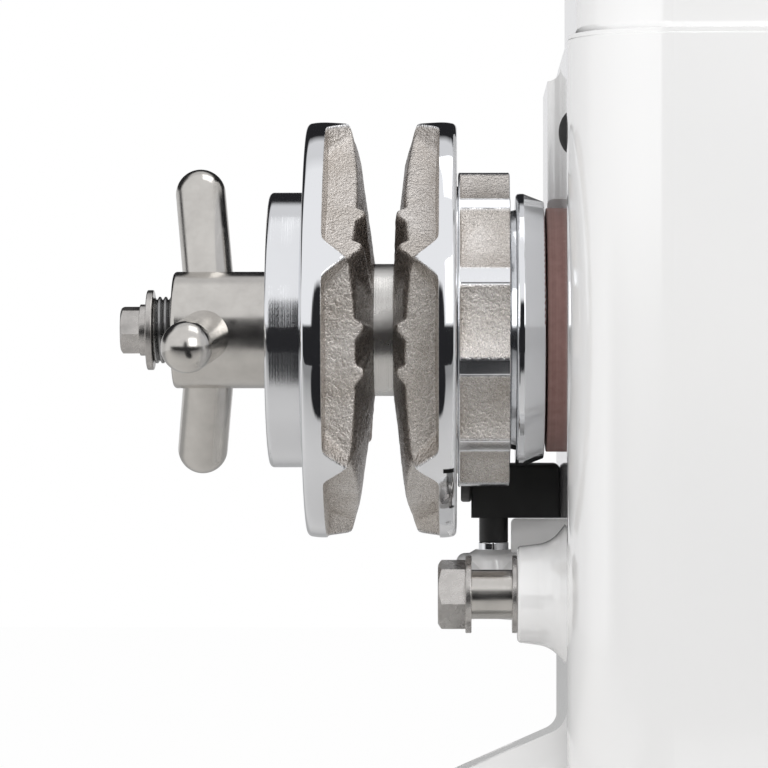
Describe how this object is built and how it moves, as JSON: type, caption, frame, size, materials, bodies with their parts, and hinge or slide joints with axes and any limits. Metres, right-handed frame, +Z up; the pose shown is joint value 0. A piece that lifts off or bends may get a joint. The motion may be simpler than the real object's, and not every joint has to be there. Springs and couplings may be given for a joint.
{
  "type": "anchor windlass",
  "caption": "White enamelled horizontal electric anchor windlass with a polished chain wheel, scooped ratchet ring, cone clutch and a handled clutch nut on the shaft end.",
  "frame": {"origin": "on the deck plane, straight under the shaft line and midway between the two side walls", "axes": "X along the shaft with the chain wheel at the -X end, Y from front to rear, Z up from the deck"},
  "size_m": [0.3023, 0.207, 0.288],
  "materials": {
    "enamel": "gloss white enamel",
    "chrome": "polished plating, rough cast in the pockets",
    "satin_steel": "satin stainless",
    "bolt_steel": "plain stainless",
    "shaft_steel": "turned steel",
    "fibre": "red-brown fibre",
    "black_plastic": "black moulding",
    "grey_plastic": "grey sensor face",
    "black_rubber": "seal",
    "bronze": "bronze",
    "plate_alloy": "plain plate",
    "motor_paint": "black can",
    "magnet": "ferrite"
  },
  "bodies": {
    "housing": {"lower_housing": "enamel", "upper_cover": "enamel", "cover_screws": "bolt_steel", "bottom_plate": "plate_alloy", "bottom_screws": "bolt_steel", "cable_gland": "black_plastic", "left_bearing_outer": "shaft_steel", "left_bearing_balls": "shaft_steel", "right_bearing_outer": "shaft_steel", "right_bearing_balls": "shaft_steel", "shaft_seal": "black_rubber", "bearing_cap": "enamel", "cap_gasket": "black_rubber", "cap_screws": "bolt_steel", "fibre_ring": "fibre", "boss_bolt": "bolt_steel", "boss_washers": "bolt_steel", "boss_spacer": "satin_steel", "wall_plug": "black_rubber", "sensor_post": "black_plastic", "post_nut": "chrome", "sensor_holder": "black_plastic", "sensor_tip": "grey_plastic", "motor_end_plate": "plate_alloy", "motor_can": "motor_paint", "motor_magnets": "magnet", "motor_brushes": "magnet", "motor_terminals": "bronze", "motor_screws": "bolt_steel", "worm_lower_bearing": "bronze", "worm_upper_bearing": "bronze"},
    "shaft": {"main_shaft": "shaft_steel", "worm_wheel": "bronze", "wheel_key": "shaft_steel", "cone_key": "shaft_steel", "disc_key": "shaft_steel", "wheel_clip": "shaft_steel", "shaft_clip": "shaft_steel", "left_bearing_inner": "shaft_steel", "right_bearing_inner": "shaft_steel", "drive_cone": "chrome", "end_bolt": "bolt_steel", "end_spring_washer": "bolt_steel", "end_washer": "bolt_steel"},
    "worm": {"worm_shaft": "shaft_steel", "motor_rotor": "shaft_steel"},
    "gypsy": {"gypsy_outer_half": "chrome", "gypsy_inner_half": "chrome", "gypsy_sleeve": "chrome", "gypsy_bush": "bronze", "gypsy_dowels": "bolt_steel", "counter_magnet": "magnet", "ratchet_ring": "chrome", "ratchet_screws": "bolt_steel"},
    "clutch_disc": {"clutch_disc": "chrome"},
    "clutch_nut": {"clutch_hub": "satin_steel", "handle_front": "satin_steel", "handle_upper": "satin_steel", "handle_lower": "satin_steel"}
  },
  "joints": [
    {"name": "shaft_spin", "type": "hinge", "parent": "housing", "child": "shaft", "pos_m": [0, 0, 0.144], "axis": [1, 0, 0], "continuous": true},
    {"name": "worm_spin", "type": "hinge", "parent": "housing", "child": "worm", "pos_m": [0, 0.06, 0.144], "axis": [0, 0, 1], "continuous": true},
    {"name": "gypsy_spin", "type": "hinge", "parent": "shaft", "child": "gypsy", "pos_m": [-0.1183, 0, 0.144], "axis": [1, 0, 0], "continuous": true},
    {"name": "clutch_slide", "type": "slide", "parent": "shaft", "child": "clutch_disc", "axis": [-1, 0, 0], "range_m": [0, 0.00524]},
    {"name": "clutch_nut_turn", "type": "hinge", "parent": "clutch_disc", "child": "clutch_nut", "pos_m": [-0.1672, 0, 0.144], "axis": [-1, 0, 0], "range_deg": [0, 1080]}
  ],
  "couplings": [
    {"joint": "worm_spin", "follows": "shaft_spin", "ratio": -30},
    {"joint": "clutch_nut_turn", "follows": "clutch_slide", "rad_per_m": 3590.4}
  ]
}
